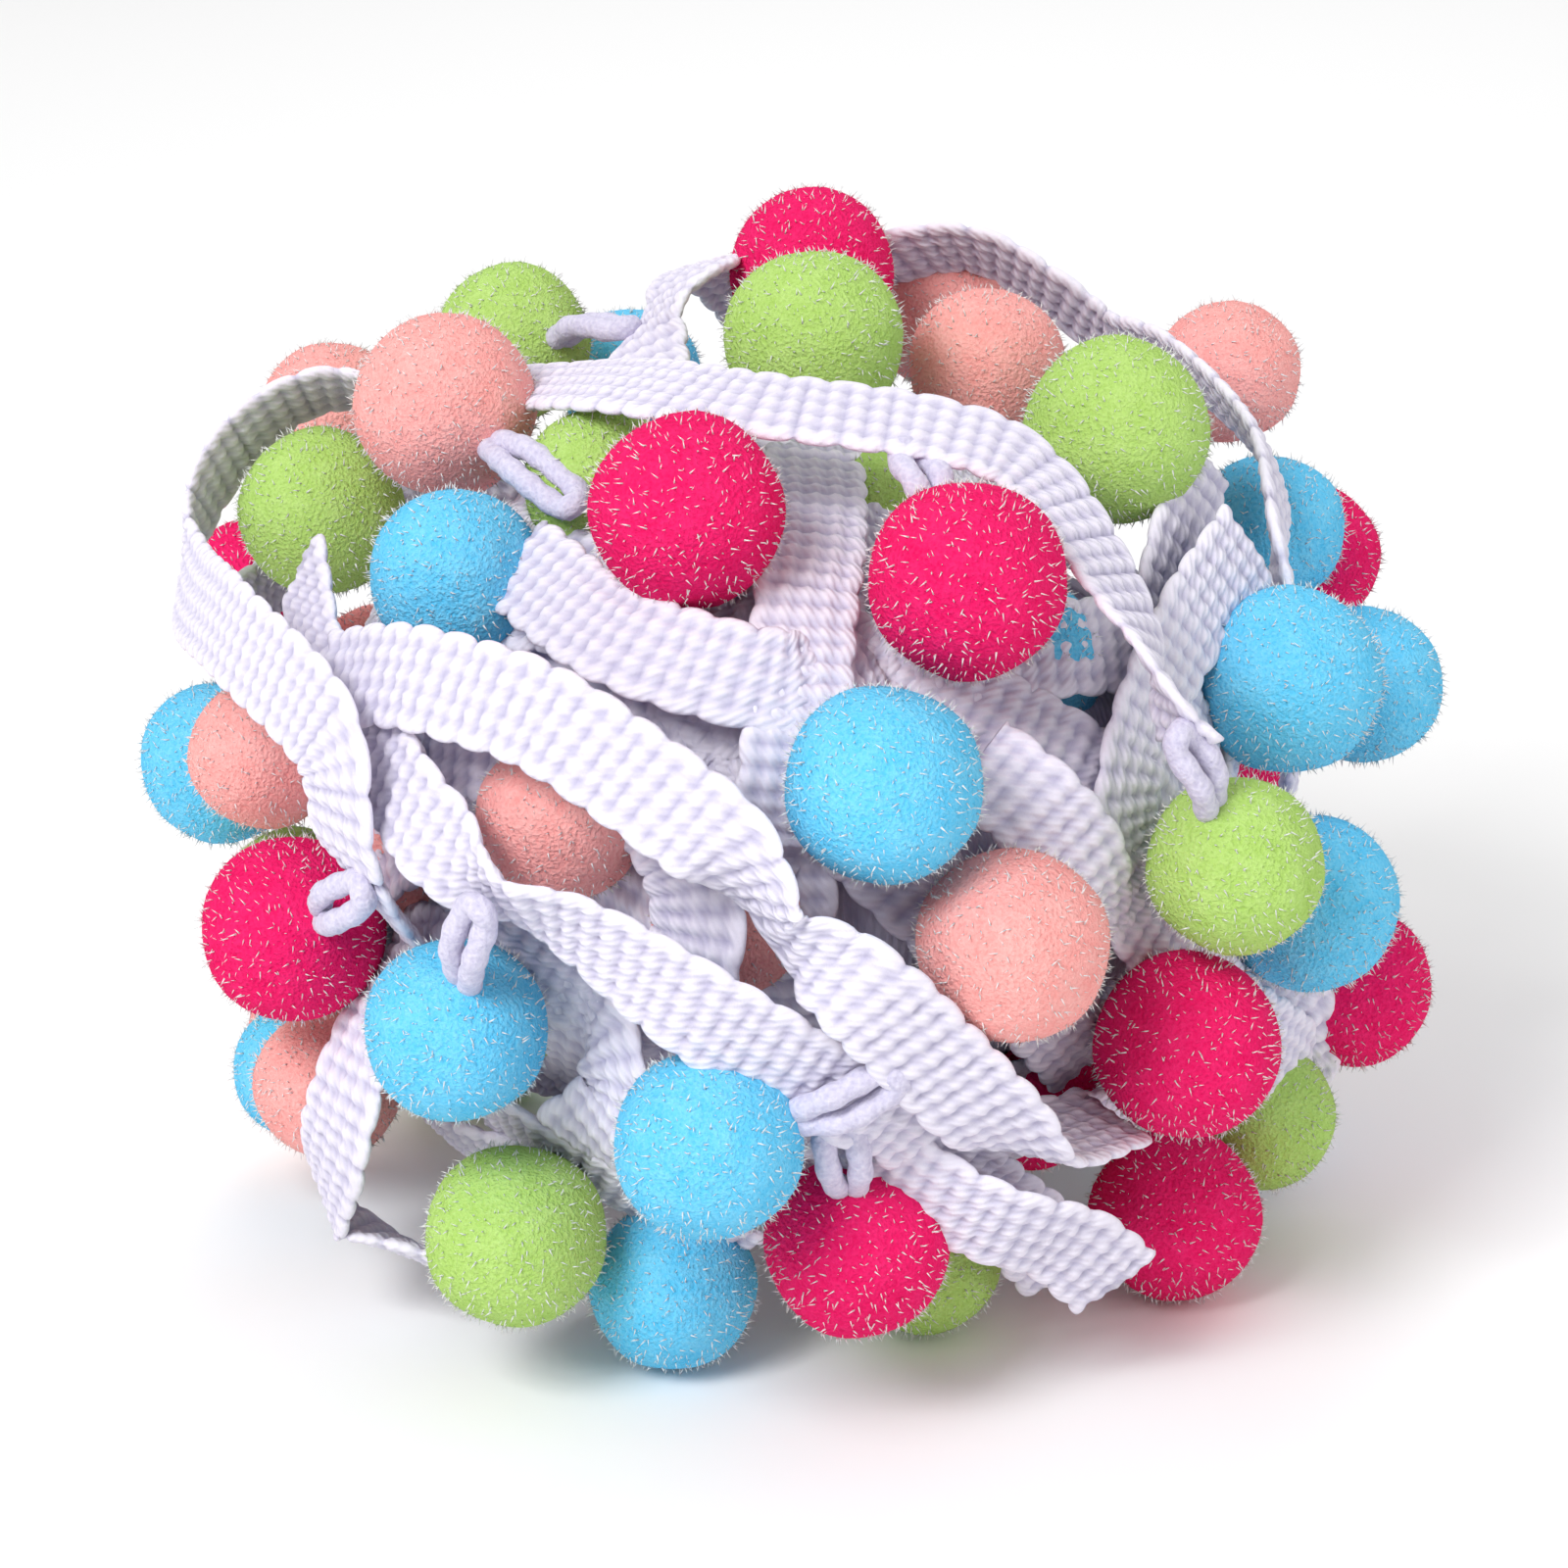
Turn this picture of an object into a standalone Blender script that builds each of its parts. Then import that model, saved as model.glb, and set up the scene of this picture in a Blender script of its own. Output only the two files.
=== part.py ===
"""Pompom fringe trim, wound by hand into a loose ball that stands on a table.

Three kinds of piece, in metres, +Z up, the ball standing on z = 0:
  wound_braid    the white heading braid, one solid of its wound form and main bands
  pompom_NN_...  a cut-pile ball of one colour
  hanger_NN      the soft yarn loop that ties a pompom to the braid's edge
The tables below are in millimetres: x to the right, y to the back, z up.
"""
import math
from collections import namedtuple

import bmesh
import bpy
from mathutils import Matrix, Vector

MM = 0.001
GAP = 0.3                  # free space kept between two pieces
PILE = 0.4                 # soft ends of the pile, left off the pompom's solid
FLOOR_DIP = 0.5            # how deep a pompom is pressed flat where the ball stands on it
BRAID_WIDTH = 10.0
BRAID_THICK = 2.0
BAND_DEPTH = 5.0           # a band and the turns right under it
BRAID_STEP = 7.0           # distance between two sections of a band
HANGER_THICK = 3.0
HANGER_BOW = 1.0           # how far a hanger bows out between its ends
HANGER_STEPS = 3           # short straights in each half of a hanger
BALL_CENTRE = Vector((0.0, 0.0, 50.0))
WAD_SIZE = Vector((50.0, 41.0, 37.0))      # half sizes of the wound mass under the bands
WAD_LUMP = 0.05                            # how far its lumps stand out, of its radius
POMPOM_SEGMENTS = 10
POMPOM_RINGS = 8
CENTRE_SHIFT = Vector((-0.26, -2.05, 0.0))     # puts the whole ball's box over the origin

COLOURS = {
    "raspberry": (0.78, 0.020, 0.115, 1.0),
    "salmon": (0.89, 0.335, 0.315, 1.0),
    "lime": (0.375, 0.585, 0.130, 1.0),
    "sky": (0.110, 0.545, 0.860, 1.0),
    "white": (0.780, 0.740, 0.850, 1.0),
}

Pompom = namedtuple("Pompom", "colour x y z size")
POMPOMS = [
    # crown
    Pompom("raspberry", 3, 32, 96, 19.0),
    Pompom("lime", 3, 10, 94, 20.0),
    Pompom("salmon", 18, 49, 87, 18.8),
    Pompom("salmon", 21, 23, 88, 18.0),
    Pompom("lime", 33, 1, 87, 20.4),
    Pompom("salmon", 48, 40, 83, 17.0),
    Pompom("lime", -29, 37, 87, 18.4),
    Pompom("sky", -17, 52, 79, 17.4),
    Pompom("salmon", -34, 7, 88, 20.2),
    Pompom("salmon", -49, 43, 77, 18.2),
    # upper front
    Pompom("lime", -48, 17, 74, 19.0),
    Pompom("sky", -32, -12, 76, 18.8),
    Pompom("raspberry", -9, -27, 87, 20.2),
    Pompom("raspberry", 17, -33, 82, 20.4),
    Pompom("sky", 23, -15, 68, 18.6),
    Pompom("sky", 9, -47, 67, 20.0),
    Pompom("sky", 50, -8, 64, 20.4),
    Pompom("sky", 61, 17, 55, 18.2),
    Pompom("raspberry", 58, 44, 61, 17.4),
    # middle front
    Pompom("lime", 43, -31, 53, 18.8),
    Pompom("sky", 53, -10, 41, 19.6),
    Pompom("raspberry", 60, 9, 24, 19.0),
    Pompom("salmon", 21, -46, 51, 19.8),
    Pompom("raspberry", 39, -30, 34, 20.0),
    Pompom("salmon", -21, -37, 60, 17.4),
    Pompom("salmon", -5, -36, 50, 17.0),
    Pompom("sky", -60, 21, 45, 19.2),
    Pompom("salmon", -53, 1, 53, 17.0),
    Pompom("raspberry", -48, -22, 43, 20.0),
    Pompom("raspberry", -58, 35, 60, 16.6),
    Pompom("sky", -31, -40, 40, 19.2),
    # lower front
    Pompom("raspberry", 40, -15, 8, 19.4),
    Pompom("raspberry", 25, -15, 23, 18.4),
    Pompom("salmon", -46, -14, 23, 16.8),
    Pompom("lime", -26, -37, 17, 19.4),
    Pompom("sky", -11, -30, 8, 18.4),
    Pompom("sky", -7, -53, 34, 19.4),
    Pompom("raspberry", 7, -43, 19, 19.4),
    Pompom("lime", 14, -23, 8, 17.4),
    # back
    Pompom("salmon", -44, 40, 48, 18.6),
    Pompom("raspberry", -26, 52, 46, 19.4),
    Pompom("lime", -5, 57, 45, 19.6),
    Pompom("sky", 26, 51, 70, 19.0),
    Pompom("raspberry", 48, 38, 33, 18.8),
    Pompom("salmon", -50, 20, 13, 19.0),
    Pompom("lime", -33, 35, 8, 19.2),
    Pompom("sky", -13, 44, 15, 19.4),
    Pompom("salmon", 7, 46, 13, 19.0),
    Pompom("lime", 29, 36, 8, 19.0),
    Pompom("salmon", 30, 49, 26, 18.0),
    Pompom("sky", 47, 22, 11, 18.8),
]

# One row for each section of a band; turn is how far, in degrees, the braid is twisted
# about its own run from lying flat on the ball.
Row = namedtuple("Row", "x y z turn")
BANDS = {
    "arch": [
        Row(38, -33, 67, 75), Row(35, -33, 73, 45), Row(32, -29, 79, 15),
        Row(24, -21, 89, 0), Row(15, -19, 93, 0), Row(-4, -16, 95, 0),
        Row(-15, -6, 94, 0), Row(-24, 9, 90, 0), Row(-37, 22, 86, 0),
        Row(-50, 24, 85, 10), Row(-59, 19, 78, 15), Row(-61, 9, 70, 0),
        Row(-54, -15, 72, 0), Row(-43, -34, 68, 0), Row(-41, -36, 57, 0),
        Row(-36, -26, 44, 0),
    ],
    "front": [
        Row(-44, -22, 69, 0), Row(-37, -32, 73, 0), Row(-30, -39, 74, 0),
        Row(-21, -46, 73, 0), Row(-8, -53, 66, 0), Row(-3, -53, 61, 40),
        Row(0, -53, 56, 60), Row(4, -55, 53, 20), Row(9, -56, 49, 0),
        Row(19, -50, 36, 10), Row(24, -42, 29, 60), Row(32, -30, 27, 80),
    ],
    "cross": [
        Row(-42, -23, 67, 0), Row(-35, -39, 63, 0), Row(-31, -44, 60, 0),
        Row(-25, -49, 57, 50), Row(-19, -51, 55, 30), Row(-7, -55, 48, 0),
        Row(5, -52, 39, 0), Row(12, -48, 34, 0), Row(18, -40, 24, 0),
        Row(24, -33, 16, 0), Row(28, -27, 9, 0),
    ],
    "inner_top": [
        Row(-26, -15, 79, 0), Row(-15, -33, 77, 0), Row(0, -37, 74, 0),
        Row(8, -30, 74, 0),
    ],
    "upright": [
        Row(3, -1, 86, 0), Row(3, -20, 83, 0), Row(2, -30, 79, 0),
        Row(1, -40, 69, 0), Row(0, -40, 59, 0),
    ],
    "crown": [
        Row(-14, 8, 88, 0), Row(-14, 18, 92, 0), Row(-10, 26, 97, 0),
        Row(-6, 40, 94, 0), Row(0, 50, 84, 0), Row(3, 56, 72, 0),
        Row(8, 59, 60, 10), Row(14, 57, 46, 0), Row(17, 51, 32, 0),
        Row(19, 40, 20, 0),
    ],
    "shoulder": [
        Row(6, 42, 94, 0), Row(19, 40, 97, 0), Row(28, 38, 93, 0),
        Row(35, 36, 88, 0), Row(42, 28, 87, 0), Row(49, 14, 82, 0),
        Row(50, 5, 75, 0), Row(50, 4, 66, 0), Row(43, 3, 54, 0),
    ],
    "right_side": [
        Row(46, -3, 77, 0), Row(38, -16, 70, 0), Row(33, -26, 60, 0),
        Row(34, -26, 48, 0), Row(44, -16, 32, 0), Row(53, -2, 20, 0),
        Row(54, 10, 10, 0),
    ],
    "back_high": [
        Row(-58, 16, 63, 0), Row(-48, 35, 66, 0), Row(-30, 48, 66, 0),
        Row(-10, 54, 63, 0), Row(10, 54, 58, 0), Row(28, 48, 54, 0),
        Row(43, 36, 51, 0), Row(53, 18, 50, 0), Row(52, 6, 50, 0),
    ],
    "back_low": [
        Row(-52, 4, 34, 0), Row(-52, 22, 31, 0), Row(-38, 41, 28, 0),
        Row(-18, 50, 28, 0), Row(2, 51, 31, 0), Row(20, 48, 37, 10),
        Row(36, 41, 42, 0), Row(40, 30, 52, 0),
    ],
    "skirt_back": [
        Row(-46, -4, 20, 0), Row(-45, 14, 19, 0), Row(-33, 27, 20, 0), Row(-12, 34, 19, 0),
        Row(9, 36, 18, 0), Row(28, 28, 18, 0), Row(40, 14, 18, 0), Row(46, -2, 22, 0),
    ],
    "skirt_front": [
        Row(-38, 6, 16, 0), Row(-34, -14, 18, 0), Row(-20, -25, 19, 0), Row(-4, -33, 22, 0),
        Row(12, -34, 26, 0), Row(30, -24, 24, 0), Row(40, -6, 20, 0), Row(36, 12, 16, 0),
    ],
    "lower_left": [
        Row(-34, -22, 46, 0), Row(-40, -28, 36, 0), Row(-44, -28, 24, 0), Row(-45, -20, 12, 20),
        Row(-34, -24, 8, 0),
    ],
}

# A hanger runs from its pompom, counted from 1 in the table above, to a far end at the braid.
Hanger = namedtuple("Hanger", "pompom x y z")
HANGERS = [
    Hanger(20, 37, -37, 68),
    Hanger(29, -40, -37, 53),
    Hanger(31, -28, -50, 56),
    Hanger(37, 9, -54, 41),
    Hanger(9, -21, -11, 84),
    Hanger(7, -17, 24, 92),
    Hanger(14, 12, -22, 91),
    Hanger(38, 5, -50, 35),
]


def clear_scene():
    """Start from an empty file."""
    for thing in list(bpy.data.objects):
        bpy.data.objects.remove(thing, do_unlink=True)


def fibre_material(name, colour, roughness):
    """A matt textile finish."""
    material = bpy.data.materials.new(name)
    material.use_nodes = True
    shader = material.node_tree.nodes["Principled BSDF"]
    shader.inputs["Base Color"].default_value = colour
    shader.inputs["Roughness"].default_value = roughness
    shader.inputs["Metallic"].default_value = 0.0
    return material


def finish_object(name, shape, material, smooth=True):
    """Turn a bmesh in millimetres into a named object in metres."""
    shape.transform(Matrix.Scale(MM, 4) @ Matrix.Translation(CENTRE_SHIFT))
    mesh = bpy.data.meshes.new(name)
    shape.to_mesh(mesh)
    shape.free()
    mesh.materials.append(material)
    if smooth:
        mesh.shade_smooth()
    thing = bpy.data.objects.new(name, mesh)
    bpy.context.scene.collection.objects.link(thing)
    return thing


def solid_radius(pompom):
    return pompom.size / 2 - PILE


def standing_height(pompom):
    """A pompom that touches the table is pressed a little flat; the others stay where they hang."""
    return max(pompom.z, solid_radius(pompom) - FLOOR_DIP)


def add_ball(shape, centre, radius):
    """Add one round ball to a bmesh."""
    bmesh.ops.create_uvsphere(
        shape, u_segments=POMPOM_SEGMENTS, v_segments=POMPOM_RINGS, radius=radius,
        matrix=Matrix.Translation(centre))


def pompom_object(number, pompom, material):
    """A pompom, its underside cut flat at z = 0 where the ball stands on it."""
    shape = bmesh.new()
    centre = Vector((pompom.x, pompom.y, standing_height(pompom)))
    add_ball(shape, centre, solid_radius(pompom))
    if centre.z < solid_radius(pompom):
        cut = bmesh.ops.bisect_plane(
            shape, geom=shape.verts[:] + shape.edges[:] + shape.faces[:], dist=1e-5,
            plane_co=(0, 0, 0), plane_no=(0, 0, -1), clear_outer=True)
        rim = [part for part in cut["geom_cut"] if isinstance(part, bmesh.types.BMEdge)]
        bmesh.ops.contextual_create(shape, geom=rim)
        bmesh.ops.recalc_face_normals(shape, faces=shape.faces[:])
    return finish_object(f"pompom_{number:02d}_{pompom.colour}", shape, material)


def spline_point(before, start, end, after, part):
    """A point between start and end on the smooth curve through four points."""
    return 0.5 * (
        2 * start
        + (end - before) * part
        + (2 * before - 5 * start + 4 * end - after) * part ** 2
        + (3 * start - before - 3 * end + after) * part ** 3)


def band_stations(rows):
    """Evenly spread places along a band: centre, direction of the run and turn."""
    knots = [Vector((row.x, row.y, row.z, row.turn)) for row in rows]
    knots = [2 * knots[0] - knots[1]] + knots + [2 * knots[-1] - knots[-2]]
    route = []
    for first in range(len(knots) - 3):
        four = knots[first:first + 4]
        length = (four[2].to_3d() - four[1].to_3d()).length
        steps = max(1, round(length / BRAID_STEP))
        route += [spline_point(*four, step / steps) for step in range(steps)]
    route.append(knots[-2])
    stations = []
    for place, point in enumerate(route):
        ahead = route[min(place + 1, len(route) - 1)].to_3d()
        behind = route[max(place - 1, 0)].to_3d()
        stations.append((point.to_3d(), (ahead - behind).normalized(), point.w))
    return stations


def band_frame(centre, run, turn):
    """The matrix that lays a flat section (x across, y through the braid) at a station."""
    outward = centre - BALL_CENTRE
    outward = (outward - outward.dot(run) * run).normalized()
    across = run.cross(outward)
    twist = Matrix.Rotation(math.radians(turn), 3, run)
    frame = Matrix((twist @ across, twist @ outward, run)).transposed().to_4x4()
    return Matrix.Translation(centre) @ frame


def add_band(shape, rows):
    """Extrude the braid's flattened section from station to station."""
    half, top, under = BRAID_WIDTH / 2, BRAID_THICK / 2, BRAID_THICK / 2 - BAND_DEPTH
    section = [Vector((x, y, 0)) for x, y in (
        (1 - half, under), (half - 1, under), (half, 0), (half - 1, top), (1 - half, top), (-half, 0))]
    stations = band_stations(rows)
    frames = [band_frame(*station) for station in stations]
    ring = [shape.verts.new(frames[0] @ corner) for corner in section]
    first = face = shape.faces.new(ring)
    for frame in frames[1:]:
        made = bmesh.ops.extrude_face_region(shape, geom=[face])
        if face is not first:
            bmesh.ops.delete(shape, geom=[face], context="FACES_ONLY")
        face = next(part for part in made["geom"] if isinstance(part, bmesh.types.BMFace))
        for vertex, corner in zip(face.verts, section):
            vertex.co = frame @ corner
    bmesh.ops.recalc_face_normals(shape, faces=shape.faces[:])


def wad_lump(direction):
    """The wound mass is uneven: its radius rises and falls with the turns inside it."""
    waves = (
        math.sin(5.0 * direction.x + 3.0 * direction.z),
        math.sin(6.0 * direction.y - 2.0 * direction.x),
        math.sin(7.0 * direction.z + 4.0 * direction.y))
    return 1.0 + WAD_LUMP * sum(waves) / len(waves)


def wad_shape():
    """The lumpy mass of inner turns that the bands lie on."""
    shape = bmesh.new()
    bmesh.ops.create_icosphere(shape, subdivisions=3, radius=1.0)
    for vertex in shape.verts:
        reach = vertex.co * wad_lump(vertex.co)
        vertex.co = BALL_CENTRE + Vector(a * b for a, b in zip(reach, WAD_SIZE))
    return shape


def evaluated_mesh(thing):
    """The object's shape as its modifiers or bevel leave it."""
    depsgraph = bpy.context.evaluated_depsgraph_get()
    return bpy.data.meshes.new_from_object(thing.evaluated_get(depsgraph))


def as_mesh(thing):
    """Swap a curve object for a mesh object of the same shape, its caps joined to its wall."""
    mesh = evaluated_mesh(thing)
    shape = bmesh.new()
    shape.from_mesh(mesh)
    bmesh.ops.remove_doubles(shape, verts=shape.verts[:], dist=1e-6)
    bmesh.ops.recalc_face_normals(shape, faces=shape.faces[:])
    shape.to_mesh(mesh)
    shape.free()
    solid = bpy.data.objects.new(thing.name, mesh)
    bpy.context.scene.collection.objects.link(solid)
    bpy.data.objects.remove(thing, do_unlink=True)
    return solid


def combine(target, helper, operation):
    """Join a helper object to the target solid, or cut it away, and drop the helper."""
    modifier = target.modifiers.new(operation.lower(), "BOOLEAN")
    modifier.operation = operation
    modifier.solver = "MANIFOLD"
    modifier.object = helper
    mesh = evaluated_mesh(target)
    target.modifiers.clear()
    target.data = mesh
    bpy.data.objects.remove(helper, do_unlink=True)


def hanger_route(hanger):
    """From just off the pompom's surface to the braid, bowed outward in the middle."""
    pompom = POMPOMS[hanger.pompom - 1]
    centre, far = Vector(pompom[1:4]), Vector(hanger[1:4])
    near = centre + (far - centre).normalized() * (solid_radius(pompom) + HANGER_THICK / 2 + 2 * GAP)
    middle = (near + far) / 2
    bow = (middle - BALL_CENTRE).normalized() * HANGER_BOW
    return [near, middle + bow, far]


def hanger_object(name, hanger, material, room=0.0):
    """A round yarn along the hanger's route, with closed ends; room swells it on every side."""
    knots = hanger_route(hanger)
    knots[0] += (knots[0] - knots[1]).normalized() * room
    knots[2] += (knots[2] - knots[1]).normalized() * room
    knots = [2 * knots[0] - knots[1]] + knots + [2 * knots[-1] - knots[-2]]
    points = [spline_point(*knots[first:first + 4], step / HANGER_STEPS)
              for first in range(2) for step in range(HANGER_STEPS)] + [knots[-2]]
    curve = bpy.data.curves.new(name, "CURVE")
    curve.dimensions = "3D"
    curve.bevel_depth = (HANGER_THICK / 2 + room) * MM
    curve.bevel_resolution = 2
    curve.use_fill_caps = True
    line = curve.splines.new("POLY")
    line.points.add(len(points) - 1)
    for knot, point in zip(line.points, points):
        knot.co = ((point + CENTRE_SHIFT) * MM).to_4d()
    curve.materials.append(material)
    thing = bpy.data.objects.new(name, curve)
    bpy.context.scene.collection.objects.link(thing)
    return thing


def wound_braid_object(material):
    """Wound mass and bands in one solid, hollowed where pompoms and hangers nestle in it."""
    braid = finish_object("wound_braid", wad_shape(), material)
    for name, rows in BANDS.items():
        shape = bmesh.new()
        add_band(shape, rows)
        combine(braid, finish_object(name, shape, material), "UNION")
    for pompom in POMPOMS:
        shape = bmesh.new()
        centre = Vector((pompom.x, pompom.y, standing_height(pompom)))
        add_ball(shape, centre, solid_radius(pompom) + GAP)
        combine(braid, finish_object("socket", shape, material), "DIFFERENCE")
    for hanger in HANGERS:
        combine(braid, as_mesh(hanger_object("slot", hanger, material, 2 * GAP)), "DIFFERENCE")
    return braid


def main():
    clear_scene()
    white = fibre_material("white braid", COLOURS["white"], 0.75)
    pile = {name: fibre_material(name + " pile", COLOURS[name], 0.95)
            for name in COLOURS if name != "white"}
    wound_braid_object(white)
    for number, pompom in enumerate(POMPOMS, start=1):
        pompom_object(number, pompom, pile[pompom.colour])
    for number, hanger in enumerate(HANGERS, start=1):
        hanger_object(f"hanger_{number:02d}", hanger, white)


main()
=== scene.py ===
"""Looks of a pompom fringe trim, wound by hand into a loose ball that stands on a table.

The tables are in millimetres, x to the right, y to the back, z up; MM turns them into metres.
"""
import math
from collections import namedtuple

import bmesh
import bpy
import numpy as np
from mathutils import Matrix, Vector


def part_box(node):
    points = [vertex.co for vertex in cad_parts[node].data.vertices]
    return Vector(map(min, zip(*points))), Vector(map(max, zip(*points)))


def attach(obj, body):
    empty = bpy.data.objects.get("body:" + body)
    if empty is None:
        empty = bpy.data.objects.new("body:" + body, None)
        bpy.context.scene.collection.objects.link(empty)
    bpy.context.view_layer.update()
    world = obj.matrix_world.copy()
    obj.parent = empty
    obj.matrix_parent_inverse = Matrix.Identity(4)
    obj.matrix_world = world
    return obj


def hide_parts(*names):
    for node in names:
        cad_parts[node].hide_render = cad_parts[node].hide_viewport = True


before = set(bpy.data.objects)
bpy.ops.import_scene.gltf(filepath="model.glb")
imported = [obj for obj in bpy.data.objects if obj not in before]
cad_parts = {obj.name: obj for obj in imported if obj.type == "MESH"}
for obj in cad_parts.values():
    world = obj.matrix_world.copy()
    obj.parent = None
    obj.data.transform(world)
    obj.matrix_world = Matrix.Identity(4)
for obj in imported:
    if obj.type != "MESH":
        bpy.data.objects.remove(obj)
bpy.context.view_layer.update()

MM = 0.001
CENTRE_SHIFT = np.array((-0.26, -2.05, 0.0))     # puts the ball's box over the origin
BALL_CENTRE = np.array((0.0, 0.0, 50.0))
BRAID_WIDTH = 10.0
BRAID_THICK = 1.9
RIB = 2.1                  # distance from one rib of the weft cord to the next
RIB_STEPS = 4              # rows of faces in a rib
RING = 44                  # faces round the braid's section
BUMPS = 5                  # bumps that the warp rows leave across the braid
WAD_SIZE = np.array((50.0, 41.0, 37.0))
INNER_TURNS = 9
INNER_REACH = 0.93         # of the wad's size
CORE_REACH = 0.86
HANGER_THICK = 2.4
HANGER_GAP = 1.3           # from a hanger's middle to each of its two strands
PILE = 0.4                 # what the CAD ball leaves off the pompom's outline
FIBRE = 0.85               # length of a loose end of pile
FIBRE_THICK = 0.095
FIBRES = 0.96              # loose ends on a square millimetre
FIBRE_TILT = 0.75          # most that a loose end leans, in radians
FLAT_ZONE = 0.3            # height under which a pompom is pressed against the table
LUMP = 0.018               # how far a pompom's broad lumps stand out, of its radius
FINE_LUMP = 0.008
EDGE_CROWDING = 1.3        # how closely faces crowd towards the braid's edges
RIB_WANDER = 0.18          # how far the ribs stray from even spacing
RIB_WANDER_PACE = 0.71
RIB_ROUNDNESS = 0.6
RIB_LEAN = 0.18            # most that the ribs slant across the braid
EDGE_START = 0.72          # where the cord starts to turn back, of the half width
EDGE_BLEND = 0.22
NARROWEST = 0.90           # half width between two scallops, of the nominal one
SCALLOP = 0.13
GROOVE_DEPTH = 0.66        # of the half thickness
PINCH_DEPTH = 0.36
# painted shade in the pinches between warp rows, added to the painted groove shade
PINCH_SHADE = 0.45
WAD_LUMP = 0.05            # how far the wad's lumps stand out, of its radius
TURN_LEAN = 0.9            # most that an inner turn's plane leans, in radians
TURN_PLACES = 25
LOWEST_TURN = 4.0          # no inner turn's middle line is lower than this
CORE_RIBS = 40.0
CORE_RIB_SLANT = 6.0
YARN_RING = 14             # faces round a hanger's yarn
YARN_SLUB = 0.07           # how far its thickness rises and falls
AIM_HEIGHT = 50.5          # what the camera looks at
CAMERA_RISE = 20.0         # degrees above level
CAMERA_DISTANCE = 450.0
LENS = 101.25

Row = namedtuple("Row", "x y z turn")
BANDS = {
    "arch": [
        Row(38, -33, 67, 75), Row(35, -33, 73, 45), Row(32, -29, 79, 15),
        Row(24, -21, 89, 0), Row(15, -19, 93, 0), Row(-4, -16, 95, 0),
        Row(-15, -6, 94, 0), Row(-24, 9, 90, 0), Row(-37, 22, 86, 0),
        Row(-50, 24, 85, 10), Row(-59, 19, 78, 15), Row(-61, 9, 70, 0),
        Row(-54, -15, 72, 0), Row(-43, -34, 68, 0), Row(-41, -36, 57, 0),
        Row(-36, -26, 44, 0),
    ],
    "front": [
        Row(-44, -22, 69, 0), Row(-37, -32, 73, 0), Row(-30, -39, 74, 0),
        Row(-21, -46, 73, 0), Row(-8, -53, 66, 0), Row(-3, -53, 61, 40),
        Row(0, -53, 56, 60), Row(4, -55, 53, 20), Row(9, -56, 49, 0),
        Row(19, -50, 36, 10), Row(24, -42, 29, 60), Row(32, -30, 27, 80),
    ],
    "cross": [
        Row(-42, -23, 67, 0), Row(-35, -39, 63, 0), Row(-31, -44, 60, 0),
        Row(-25, -49, 57, 50), Row(-19, -51, 55, 30), Row(-7, -55, 48, 0),
        Row(5, -52, 39, 0), Row(12, -48, 34, 0), Row(18, -40, 24, 0),
        Row(24, -33, 16, 0), Row(28, -27, 9, 0),
    ],
    "inner_top": [
        Row(-26, -15, 79, 0), Row(-15, -33, 77, 0), Row(0, -37, 74, 0),
        Row(8, -30, 74, 0),
    ],
    "upright": [
        Row(3, -1, 86, 0), Row(3, -20, 83, 0), Row(2, -30, 79, 0),
        Row(1, -40, 69, 0), Row(0, -40, 59, 0),
    ],
    "crown": [
        Row(-14, 8, 88, 0), Row(-14, 18, 92, 0), Row(-10, 26, 97, 0),
        Row(-6, 40, 94, 0), Row(0, 50, 84, 0), Row(3, 56, 72, 0),
        Row(8, 59, 60, 10), Row(14, 57, 46, 0), Row(17, 51, 32, 0),
        Row(19, 40, 20, 0),
    ],
    "shoulder": [
        Row(6, 42, 94, 0), Row(19, 40, 97, 0), Row(28, 38, 93, 0),
        Row(35, 36, 88, 0), Row(42, 28, 87, 0), Row(49, 14, 82, 0),
        Row(50, 5, 75, 0), Row(50, 4, 66, 0), Row(43, 3, 54, 0),
    ],
    "right_side": [
        Row(46, -3, 77, 0), Row(38, -16, 70, 0), Row(33, -26, 60, 0),
        Row(34, -26, 48, 0), Row(44, -16, 32, 0), Row(53, -2, 20, 0),
        Row(54, 10, 10, 0),
    ],
    "back_high": [
        Row(-58, 16, 63, 0), Row(-48, 35, 66, 0), Row(-30, 48, 66, 0),
        Row(-10, 54, 63, 0), Row(10, 54, 58, 0), Row(28, 48, 54, 0),
        Row(43, 36, 51, 0), Row(53, 18, 50, 0), Row(52, 6, 50, 0),
    ],
    "back_low": [
        Row(-52, 4, 34, 0), Row(-52, 22, 31, 0), Row(-38, 41, 28, 0),
        Row(-18, 50, 28, 0), Row(2, 51, 31, 0), Row(20, 48, 37, 10),
        Row(36, 41, 42, 0), Row(40, 30, 52, 0),
    ],
    "skirt_back": [
        Row(-46, -4, 20, 0), Row(-45, 14, 19, 0), Row(-33, 27, 20, 0), Row(-12, 34, 19, 0),
        Row(9, 36, 18, 0), Row(28, 28, 18, 0), Row(40, 14, 18, 0), Row(46, -2, 22, 0),
    ],
    "skirt_front": [
        Row(-38, 6, 16, 0), Row(-34, -14, 18, 0), Row(-20, -25, 19, 0), Row(-4, -33, 22, 0),
        Row(12, -34, 26, 0), Row(30, -24, 24, 0), Row(40, -6, 20, 0), Row(36, 12, 16, 0),
    ],
    "lower_left": [
        Row(-34, -22, 46, 0), Row(-40, -28, 36, 0), Row(-44, -28, 24, 0), Row(-45, -20, 12, 20),
        Row(-34, -24, 8, 0),
    ],
}

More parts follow.
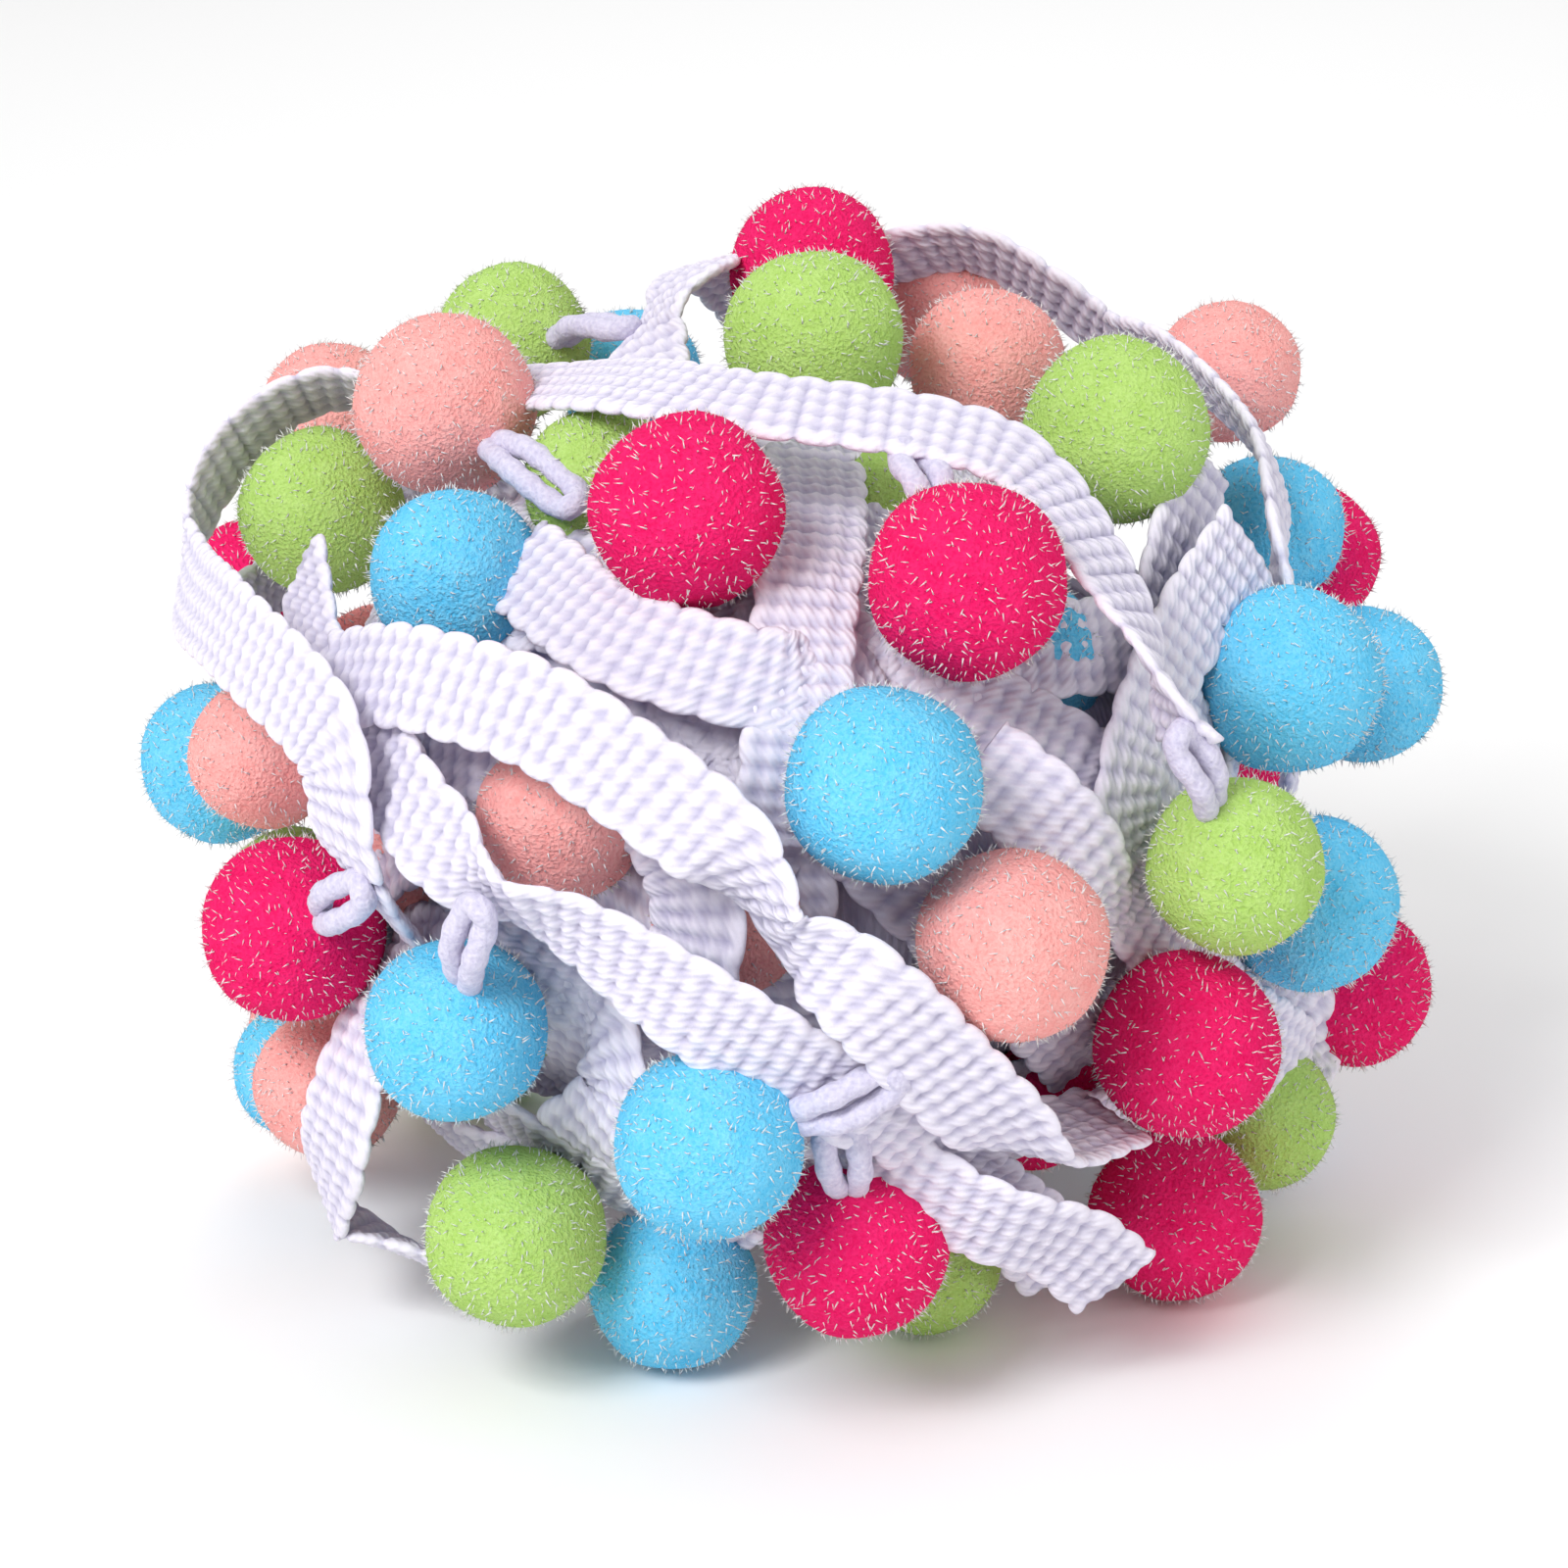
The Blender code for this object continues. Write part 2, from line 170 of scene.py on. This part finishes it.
# Turns that lie deeper between the bands, and ends that show.
INNER_BANDS = {
    "right_inner": [
        Row(42, 2, 84, 0), Row(37, -8, 72, 0), Row(36, -14, 60, 10), Row(36, -14, 46, 0),
        Row(34, -16, 36, 0),
    ],
    "right_scallop": [
        Row(18, -36, 66, 0), Row(24, -37, 61, 10), Row(29, -35, 54, 0), Row(30, -30, 45, 0),
    ],
    "tail": [
        Row(4, -44, 33, 0), Row(13, -46, 27, 0), Row(20, -46, 23, 0), Row(27, -42, 19, 0),
        Row(32, -38, 13, 0),
    ],
    "fold": [
        Row(-20, -30, 41, 0), Row(-17, -37, 38, 0), Row(-16, -39, 32, 30), Row(-20, -34, 26, 0),
    ],
    "low_inner": [
        Row(-30, -24, 26, 0), Row(-22, -30, 23, 0), Row(-14, -32, 19, 0), Row(-4, -30, 13, 0),
    ],
    "right_twist": [
        Row(46, -4, 36, 0), Row(52, -2, 28, 30), Row(54, 2, 18, 60), Row(50, 4, 8, 30),
    ],
    "left_shade": [
        Row(-48, -2, 74, 0), Row(-44, -18, 66, 0), Row(-36, -28, 60, 0),
    ],
    "middle_drop": [
        Row(-16, -36, 66, 0), Row(-9, -44, 60, 0), Row(-8, -46, 52, 20), Row(-10, -42, 44, 0),
    ],
    "behind_front": [
        Row(-34, -26, 64, 0), Row(-22, -36, 66, 0), Row(-12, -38, 62, 0), Row(0, -38, 54, 0),
    ],
}

Hanger = namedtuple("Hanger", "pompom x y z")
HANGERS = [
    Hanger(20, 37, -37, 68),
    Hanger(29, -40, -37, 53),
    Hanger(31, -28, -50, 56),
    Hanger(37, 9, -54, 41),
    Hanger(9, -21, -11, 84),
    Hanger(7, -17, 24, 92),
    Hanger(14, 12, -22, 91),
    Hanger(38, 5, -50, 35),
]

# Pompoms that sit deep between the bands.
Inner = namedtuple("Inner", "colour x y z radius")
INNER_POMPOMS = [
    Inner("lime", -18, -3, 83, 8.2), Inner("lime", 8, -2, 78, 8.4), Inner("sky", 51, 22, 71, 8.3),
    Inner("lime", -51, 5, 35, 8.7), Inner("sky", -51, 4, 17, 7.6), Inner("raspberry", 12, -22, 42, 8.5),
    Inner("lime", -22, -22, 38, 8.2), Inner("lime", 50, -1, 14, 8.2), Inner("salmon", -37, -13, 49, 8.0),
    Inner("sky", -3, -18, 56, 7.9), Inner("sky", 31, 1, 53, 8.2), Inner("salmon", -12, -24, 28, 7.9),
]
PILE_COLOURS = {
    "raspberry": ((0.76, 0.006, 0.105, 1), (0.90, 0.030, 0.180, 1)),
    "salmon": ((0.90, 0.330, 0.310, 1), (0.96, 0.500, 0.470, 1)),
    "lime": ((0.370, 0.590, 0.120, 1), (0.520, 0.740, 0.240, 1)),
    "sky": ((0.085, 0.530, 0.870, 1), (0.240, 0.680, 0.940, 1)),
}
# The first colour is the painted shade in the braid's grooves and pinches and also the darker random
# tone of the braid's and yarn's fibres; the second is the cord's lighter tone.
BRAID_COLOURS = ((0.400, 0.375, 0.560, 1), (0.830, 0.795, 0.900, 1))


class Value:
    """A shader socket that takes part in sums: each operator adds its Math node."""

    def __init__(self, finish, socket):
        self.finish = finish
        self.socket = socket

    def math(self, operation, *others):
        return self.finish.add("ShaderNodeMath", {"operation": operation}, [self, *others])

    def __add__(self, other):
        return self.math("ADD", other)

    def __mul__(self, other):
        return self.math("MULTIPLY", other)

    def __rsub__(self, other):
        return self.math("MULTIPLY", -1).math("ADD", other)

    __radd__ = __add__
    __rmul__ = __mul__

    def clamped(self):
        return self.finish.add("ShaderNodeClamp", {}, [self])


class Finish:
    """A material and its shader; add() makes any node."""

    def __init__(self, name, roughness, sheen):
        self.material = bpy.data.materials.new(name)
        self.material.use_nodes = True
        self.tree = self.material.node_tree
        self.shader = self.tree.nodes["Principled BSDF"]
        self.shader.inputs["Roughness"].default_value = roughness
        self.shader.inputs["Sheen Weight"].default_value = sheen
        self.shader.inputs["Specular IOR Level"].default_value = 0.05

    def add(self, kind, settings, values, out=0):
        node = self.tree.nodes.new(kind)
        for name, setting in settings.items():
            setattr(node, name, setting)
        named = values.items() if isinstance(values, dict) else enumerate(values)
        for place, value in named:
            if isinstance(value, Value):
                self.tree.links.new(value.socket, node.inputs[place])
            else:
                node.inputs[place].default_value = value
        return Value(self, node.outputs[out])

    def feed(self, place, value):
        self.tree.links.new(value.socket, self.shader.inputs[place])

    def noise(self, vector, scale, detail=2.0):
        return self.add("ShaderNodeTexNoise", {}, {"Vector": vector, "Scale": scale, "Detail": detail})

    def blend(self, share, first, second):
        return self.add("ShaderNodeMix", {"data_type": "RGBA"}, {0: share, 6: first, 7: second}, 2)

    def raised(self, height, distance, strength):
        return self.add("ShaderNodeBump", {}, {"Height": height, "Distance": distance,
                                               "Strength": strength})


def braid_finish():
    """White weft cord with fine twisted fibres, painted darker in its grooves and pinches as shade."""
    finish = Finish("white weft cord", 0.72, 0.0)
    weave_and_shade = finish.add("ShaderNodeAttribute", {"attribute_name": "weave_and_shade"}, [], 1)
    parts = finish.tree.nodes.new("ShaderNodeSeparateXYZ")
    finish.tree.links.new(weave_and_shade.socket, parts.inputs[0])
    across, along, groove = (Value(finish, socket) for socket in parts.outputs)
    strands = (across * 7.0 + along * 5.0).math("SINE")
    fibres = finish.noise(weave_and_shade, 9.0)
    place = finish.add("ShaderNodeTexCoord", {}, [], 3)
    patch = finish.noise(place, 60.0)
    # Painted shade: groove, the depth of the grooves and pinches, darkens the cord towards the first
    # braid colour; fibres, patch and strands vary its tone at random.
    shade = (0.9 - groove * 0.85 + fibres * 0.25 + patch * 0.2 + strands * 0.05).clamped()
    finish.feed("Base Color", finish.blend(shade, *BRAID_COLOURS))
    finish.feed("Normal", finish.raised(strands * 0.5 + fibres, 0.00012, 0.7))
    return finish.material


def pile_finish(colour):
    """Dense cut pile: fine speckle over softer mottles."""
    finish = Finish(colour + " cut pile", 0.95, 0.0)
    place = finish.add("ShaderNodeTexCoord", {}, [], 3)
    speckle = finish.noise(place, 2600.0, 3.0)
    mottle = finish.noise(place, 420.0)
    shade = (-0.75 + speckle * 1.5 + mottle * 0.9).clamped()
    deep, light = PILE_COLOURS[colour]
    finish.feed("Base Color", finish.blend(shade, deep, light))
    finish.feed("Normal", finish.raised(speckle + mottle * 0.6, 0.0006, 0.8))
    return finish.material


def yarn_finish():
    """Soft white yarn with a fine matt speckle."""
    finish = Finish("white yarn", 0.85, 0.1)
    place = finish.add("ShaderNodeTexCoord", {}, [], 3)
    fibres = finish.noise(place, 1900.0, 3.0)
    finish.feed("Base Color", finish.blend(fibres, *BRAID_COLOURS))
    finish.feed("Normal", finish.raised(fibres, 0.0003, 0.8))
    return finish.material


def new_object(name, mesh, material):
    mesh.materials.clear()
    mesh.materials.append(material)
    mesh.shade_smooth()
    thing = bpy.data.objects.new(name, mesh)
    bpy.context.scene.collection.objects.link(thing)
    return thing


def points_of(mesh):
    """The mesh's points, a row each."""
    points = np.empty(len(mesh.vertices) * 3)
    mesh.vertices.foreach_get("co", points)
    return points.reshape(-1, 3)


def spline_point(before, start, end, after, part):
    """A point between start and end on the smooth curve through four points."""
    return 0.5 * (
        2 * start
        + (end - before) * part
        + (2 * before - 5 * start + 4 * end - after) * part ** 2
        + (3 * start - before - 3 * end + after) * part ** 3)


def smooth_route(rows, fineness=12):
    """Closely spaced places, x y z turn, on the curve through the rows."""
    knots = np.array(rows, float)
    knots = np.vstack((2 * knots[0] - knots[1], knots, 2 * knots[-1] - knots[-2]))
    route = [spline_point(*knots[first:first + 4], step / fineness)
             for first in range(len(knots) - 3) for step in range(fineness)]
    return np.array(route + [knots[-2]])


def unit(vectors):
    """Each row at length one."""
    return vectors / np.linalg.norm(vectors, axis=1, keepdims=True)


class Route:
    """The braid's middle line, with the directions across it and out of it at any distance."""

    def __init__(self, rows):
        self.points = smooth_route(rows)
        gaps = np.linalg.norm(np.diff(self.points[:, :3], axis=0), axis=1)
        self.reach = np.concatenate(([0.0], np.cumsum(gaps)))
        self.length = self.reach[-1]
        self.run = unit(np.gradient(self.points[:, :3], axis=0))
        out = self.points[:, :3] - BALL_CENTRE
        self.out = unit(out - (out * self.run).sum(1, keepdims=True) * self.run)

    def at(self, distance, values):
        return np.stack([np.interp(distance, self.reach, column) for column in values.T], axis=-1)

    def lay(self, distance, sideways, height):
        """Where points land that lie sideways of the middle line and above it."""
        centre = self.at(distance, self.points)
        run, out = unit(self.at(distance, self.run)), unit(self.at(distance, self.out))
        across = np.cross(run, out)
        turn = np.radians(centre[:, 3:4])
        side = across * np.cos(turn) - out * np.sin(turn)
        rise = out * np.cos(turn) + across * np.sin(turn)
        placed = centre[:, :3] + side * sideways[:, None] + rise * height[:, None]
        return (placed + CENTRE_SHIFT) * MM


def wrapped_sheet(name, steps, ring, shape_rule, material):
    """Wrap a flat grid into a closed strip: shape_rule(round, along) gives the places, and the across,
    along and painted shade values stored on each point.
    """
    shape = bmesh.new()
    bmesh.ops.create_grid(shape, x_segments=ring, y_segments=steps, size=0.5)
    mesh = bpy.data.meshes.new(name)
    shape.to_mesh(mesh)
    flat = points_of(mesh)
    places, weave_and_shade = shape_rule(flat[:, 0] + 0.5, flat[:, 1] + 0.5)
    mesh.vertices.foreach_set("co", places.ravel())
    layer = mesh.attributes.new("weave_and_shade", "FLOAT_VECTOR", "POINT")
    layer.data.foreach_set("vector", weave_and_shade.ravel())
    shape.clear()
    shape.from_mesh(mesh)
    bmesh.ops.remove_doubles(shape, verts=shape.verts[:], dist=1e-6)
    rims = [edge for edge in shape.edges if edge.is_boundary]
    bmesh.ops.holes_fill(shape, edges=rims, sides=0)
    bmesh.ops.recalc_face_normals(shape, faces=shape.faces[:])
    shape.to_mesh(mesh)
    shape.free()
    return new_object(name, mesh, material)


def braid_rule(route, lean, start):
    """Ribs of one weft cord that runs to and fro, its turns bulging out at both edges."""

    def rule(ring, along):
        side = np.where(ring < 0.5, 1.0, -1.0)
        sweep = np.abs(1 - 2 * ring) * 2 - 1
        x = np.sin(sweep * EDGE_CROWDING) / math.sin(EDGE_CROWDING)
        s = along * route.length
        wander = RIB_WANDER * np.sin(s * RIB_WANDER_PACE + start) + lean * x * BRAID_WIDTH / 2
        phase = math.pi * (s + wander) / RIB + start
        rib = np.abs(np.cos(phase)) ** RIB_ROUNDNESS
        turn_right = np.abs(np.cos(phase / 2 + math.pi / 4))
        turn_left = np.abs(np.sin(phase / 2 + math.pi / 4))
        turn = np.where(x > 0, turn_right, turn_left)
        edge = np.clip((np.abs(x) - EDGE_START) / EDGE_BLEND, 0, 1)
        groove = (1 - rib) * (1 - edge * turn ** 2)
        pinch = 0.5 - 0.5 * np.cos(math.pi * BUMPS * x + math.pi * (BUMPS - 1))
        pinch = pinch * (1 - edge)
        reach = BRAID_WIDTH / 2 * (NARROWEST + SCALLOP * turn ** 0.5)
        bulk = (1 - x ** 4) ** 0.5
        height = BRAID_THICK / 2 * bulk * (1 - GROOVE_DEPTH * groove - PINCH_DEPTH * pinch)
        places = route.lay(s, x * reach, side * height)
        # Painted shade: the cord is coloured darker in the grooves between ribs and in the pinches
        # between warp rows; the shader reads this as the third part.
        shade = np.clip(groove + PINCH_SHADE * pinch, 0, 1)
        weave_and_shade = np.stack((x * BRAID_WIDTH / 2, s, shade), axis=-1)
        return places, weave_and_shade

    return rule


def braid_piece(name, rows, number, material):
    """One strip of braid along its rows, its ribs set off and slanted by its number."""
    route = Route(rows)
    steps = max(8, round(route.length / RIB * RIB_STEPS))
    lean = RIB_LEAN * math.sin(number * 2.4)
    piece = wrapped_sheet(name, steps, RING, braid_rule(route, lean, number * 1.7), material)
    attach(piece, "root")
    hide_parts("wound_braid")
    return piece


def wad_lump(direction):
    """The wound mass is uneven: its radius rises and falls with the turns inside it."""
    x, y, z = direction.T
    waves = np.sin(5 * x + 3 * z) + np.sin(6 * y - 2 * x) + np.sin(7 * z + 4 * y)
    return 1.0 + WAD_LUMP * waves[:, None] / 3


def inner_turn(number):
    """A whole turn round the wad, its plane tilted on from the one before."""
    tilt = math.pi * number / INNER_TURNS
    lean = TURN_LEAN * math.sin(2.4 * number)
    axis = Vector((math.cos(tilt) * math.cos(lean), math.sin(tilt) * math.cos(lean), math.sin(lean)))
    first = axis.orthogonal().normalized()
    second = axis.cross(first)
    angles = np.linspace(0, 2 * math.pi, TURN_PLACES)
    ways = np.outer(np.cos(angles), first) + np.outer(np.sin(angles), second)
    places = BALL_CENTRE + ways * WAD_SIZE * INNER_REACH * wad_lump(ways)
    places[:, 2] = np.maximum(places[:, 2], LOWEST_TURN)
    return [Row(*place, 0.0) for place in places]


def core_piece(material):
    """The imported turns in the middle, seen only through the gaps."""
    shape = bmesh.new()
    bmesh.ops.create_icosphere(shape, subdivisions=5, radius=1.0)
    mesh = bpy.data.meshes.new("packed_core")
    shape.to_mesh(mesh)
    shape.free()
    ways = points_of(mesh)
    ribs = 0.5 + 0.5 * np.cos(ways[:, 0:1] * CORE_RIBS + CORE_RIB_SLANT * ways[:, 2:3])
    places = BALL_CENTRE + ways * (WAD_SIZE * CORE_REACH - ribs) * wad_lump(ways)
    mesh.vertices.foreach_set("co", ((places + CENTRE_SHIFT) * MM).ravel())
    layer = mesh.attributes.new("weave_and_shade", "FLOAT_VECTOR", "POINT")
    # the depth of the rib grooves also goes in as painted shade, so the core is coloured darker in them
    weave_and_shade = np.hstack((ways[:, :2] * CORE_RIBS, ribs))
    layer.data.foreach_set("vector", weave_and_shade.ravel())
    piece = new_object("packed_core", mesh, material)
    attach(piece, "root")
    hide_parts("wound_braid")
    return piece


class PileNodes:
    """Geometry nodes that stand loose ends of pile on a surface."""

    def __init__(self):
        self.tree = bpy.data.node_groups.new("loose ends of pile", "GeometryNodeTree")
        sockets = self.tree.interface
        sockets.new_socket(name="Geometry", in_out="INPUT", socket_type="NodeSocketGeometry")
        sockets.new_socket(name="Seed", in_out="INPUT", socket_type="NodeSocketInt")
        sockets.new_socket(name="Geometry", in_out="OUTPUT", socket_type="NodeSocketGeometry")
        given = self.add("NodeGroupInput")
        spots = self.add("GeometryNodeDistributePointsOnFaces", {}, {"Density": FIBRES / MM ** 2})
        self.link(given, 0, spots, "Mesh")
        self.link(given, 1, spots, "Seed")
        end = self.add("GeometryNodeMeshCone", {"fill_type": "NGON"}, {
            "Vertices": 3, "Radius Top": 0.0, "Radius Bottom": FIBRE_THICK * MM, "Depth": FIBRE * MM})
        tilt = self.add("FunctionNodeRandomValue", {"data_type": "FLOAT_VECTOR"},
                        {0: (-FIBRE_TILT, -FIBRE_TILT, -3.1), 1: (FIBRE_TILT, FIBRE_TILT, 3.1)})
        size = self.add("FunctionNodeRandomValue", {"data_type": "FLOAT"}, {2: 0.5, 3: 1.25})
        turned = self.add("FunctionNodeRotateRotation", {"rotation_space": "LOCAL"})
        self.link(spots, "Rotation", turned, 0)
        self.link(tilt, 0, turned, 1)
        stand = self.add("GeometryNodeInstanceOnPoints")
        self.link(spots, "Points", stand, "Points")
        self.link(end, "Mesh", stand, "Instance")
        self.link(turned, 0, stand, "Rotation")
        self.link(size, 1, stand, "Scale")
        real = self.add("GeometryNodeRealizeInstances")
        self.link(stand, 0, real, 0)
        both = self.add("GeometryNodeJoinGeometry")
        self.link(real, 0, both, 0)
        self.link(given, 0, both, 0)
        self.link(both, 0, self.add("NodeGroupOutput"), 0)

    def add(self, kind, settings=None, values=None):
        node = self.tree.nodes.new(kind)
        for name, setting in (settings or {}).items():
            setattr(node, name, setting)
        for place, value in (values or {}).items():
            node.inputs[place].default_value = value
        return node

    def link(self, source, out, target, place):
        self.tree.links.new(source.outputs[out], target.inputs[place])

    def grow(self, thing, seed):
        """The thing's mesh with its loose ends, as a plain mesh."""
        modifier = thing.modifiers.new("pile", "NODES")
        modifier.node_group = self.tree
        modifier["Socket_1"] = seed
        thing.update_tag()
        grown = thing.evaluated_get(bpy.context.evaluated_depsgraph_get())
        mesh = bpy.data.meshes.new_from_object(grown)
        thing.modifiers.clear()
        thing.data = mesh
        return mesh


def pompom_piece(name, colour, centre, radius, seed, material, pile):
    """A slightly uneven ball with its loose ends, pressed flat where it stands on the table."""
    shape = bmesh.new()
    bmesh.ops.create_icosphere(shape, subdivisions=4, radius=1.0)
    mesh = bpy.data.meshes.new(name)
    shape.to_mesh(mesh)
    shape.free()
    ways = points_of(mesh)
    x, y, z = ways.T
    lumps = np.sin(5 * x + seed) * np.sin(4 * y + 2 * seed) + np.sin(6 * z + 3 * seed) * 0.6
    fine = np.sin(23 * x + seed) * np.sin(21 * y) * np.sin(25 * z)
    size = (radius - FIBRE / 2) * (1 + LUMP * lumps + FINE_LUMP * fine)
    mesh.vertices.foreach_set("co", ((centre + ways * size[:, None]) * MM).ravel())
    piece = new_object(name, mesh, material)
    mesh = pile.grow(piece, seed)
    places = points_of(mesh)
    rest = FLAT_ZONE * MM
    low = places[:, 2] < rest
    places[low, 2] = rest * np.exp((places[low, 2] - rest) / rest)
    mesh.vertices.foreach_set("co", places.ravel())
    mesh.shade_smooth()
    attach(piece, "root")
    colour + "_pile"
    return piece


def pompoms(pile):
    """One pompom for each CAD ball, at its place and size, and those with no ball of their own."""
    finishes = {colour: pile_finish(colour) for colour in PILE_COLOURS}
    names = sorted(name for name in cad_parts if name.startswith("pompom_"))
    for seed, node in enumerate(names, start=1):
        low, high = (np.array(corner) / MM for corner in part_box(node))
        radius = (high[0] - low[0]) / 2
        centre = (low + high) / 2
        centre[2] = high[2] - radius
        colour = node.rsplit("_", 1)[1]
        piece = pompom_piece("pile_" + node, colour, centre, radius + PILE, seed, finishes[colour], pile)
        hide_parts(node)
    for seed, ball in enumerate(INNER_POMPOMS, start=len(names) + 1):
        centre = np.array((ball.x, ball.y, ball.z)) + CENTRE_SHIFT
        piece = pompom_piece(f"pile_inner_{seed}", ball.colour, centre, ball.radius, seed,
                             finishes[ball.colour], pile)
        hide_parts("wound_braid")


def yarn_rule(route):
    """A round yarn, a little thicker here and thinner there."""

    def rule(ring, along):
        angle = 2 * math.pi * ring
        s = along * route.length
        thick = HANGER_THICK / 2 * (1 + YARN_SLUB * np.sin(s * 2.1))
        places = route.lay(s, np.cos(angle) * thick, np.sin(angle) * thick)
        return places, np.stack((angle, s, 0 * s), axis=-1)

    return rule


def hanger_pieces(material):
    """Each hanger is one soft yarn doubled into a loop, from its pompom to the braid's edge."""
    names = {int(name.split("_")[1]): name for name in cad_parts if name.startswith("pompom_")}
    for number, hanger in enumerate(HANGERS, start=1):
        low, high = (np.array(corner) / MM - CENTRE_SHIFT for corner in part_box(names[hanger.pompom]))
        near, far = (low + high) / 2, np.array((hanger.x, hanger.y, hanger.z), float)
        run = (far - near) / np.linalg.norm(far - near)
        near = near + run * ((high[0] - low[0]) / 2 - 0.5)
        out = (near + far) / 2 - BALL_CENTRE
        out = out / np.linalg.norm(out)
        side = np.cross(run, out) * HANGER_GAP
        bow = (near + far) / 2 + out * 1.2
        loop = [near + side * 0.5, bow + side * 1.15, far + side, far + run * 1.6 + out * 0.3,
                far - side, bow - side * 1.15, near - side * 0.5]
        route = Route([Row(*place, 0.0) for place in loop])
        steps = max(16, round(route.length * 1.5))
        piece = wrapped_sheet(f"loop_{number:02d}", steps, YARN_RING, yarn_rule(route), material)
        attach(piece, "root")
        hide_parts(f"hanger_{number:02d}")


def camera():
    """Looks a little down on the ball from the front."""
    data = bpy.data.cameras.new("camera")
    data.lens = LENS
    data.sensor_width = 36.0
    thing = bpy.data.objects.new("camera", data)
    bpy.context.scene.collection.objects.link(thing)
    height = math.radians(CAMERA_RISE)
    back = Vector((0, -math.cos(height), math.sin(height)))
    aim = Vector((CENTRE_SHIFT[0], CENTRE_SHIFT[1], AIM_HEIGHT))
    thing.location = (aim + back * CAMERA_DISTANCE) * MM
    thing.rotation_euler = (-back).to_track_quat("-Z", "Y").to_euler()
    bpy.context.scene.camera = thing


def area_light(name, place, size, power):
    data = bpy.data.lights.new(name, "AREA")
    data.size = size
    data.energy = power
    thing = bpy.data.objects.new(name, data)
    bpy.context.scene.collection.objects.link(thing)
    thing.location = place
    aim = Vector((0, 0, 0.05)) - Vector(place)
    thing.rotation_euler = aim.to_track_quat("-Z", "Y").to_euler()


def studio():
    """Soft light from the upper left, a weak fill and a pale floor."""
    area_light("key", (-0.45, -0.65, 0.75), 0.4, 8.5)
    area_light("fill", (0.8, -0.5, 0.4), 0.8, 2)
    area_light("back", (0.1, 0.8, 0.8), 0.6, 3)
    world = bpy.data.worlds.new("studio")
    world.use_nodes = True
    world.node_tree.nodes["Background"].inputs["Color"].default_value = (1, 1, 1, 1)
    world.node_tree.nodes["Background"].inputs["Strength"].default_value = 0.55
    bpy.context.scene.world = world
    shape = bmesh.new()
    bmesh.ops.create_grid(shape, x_segments=1, y_segments=1, size=6.0)
    mesh = bpy.data.meshes.new("floor")
    shape.to_mesh(mesh)
    shape.free()
    finish = Finish("pale floor", 0.9, 0.0)
    finish.shader.inputs["Base Color"].default_value = (0.95, 0.95, 0.95, 1)
    new_object("floor", mesh, finish.material)


def main():
    bpy.context.scene.view_settings.view_transform = "Standard"
    camera()
    studio()
    white = braid_finish()
    pile = PileNodes()
    bands = {**BANDS, **INNER_BANDS}
    for number, (name, rows) in enumerate(bands.items()):
        braid_piece("braid_" + name, rows, number, white)
    for number in range(INNER_TURNS):
        braid_piece(f"braid_turn_{number}", inner_turn(number), number, white)
    core_piece(white)
    pompoms(pile)
    hanger_pieces(yarn_finish())


main()
bpy.context.view_layer.update()
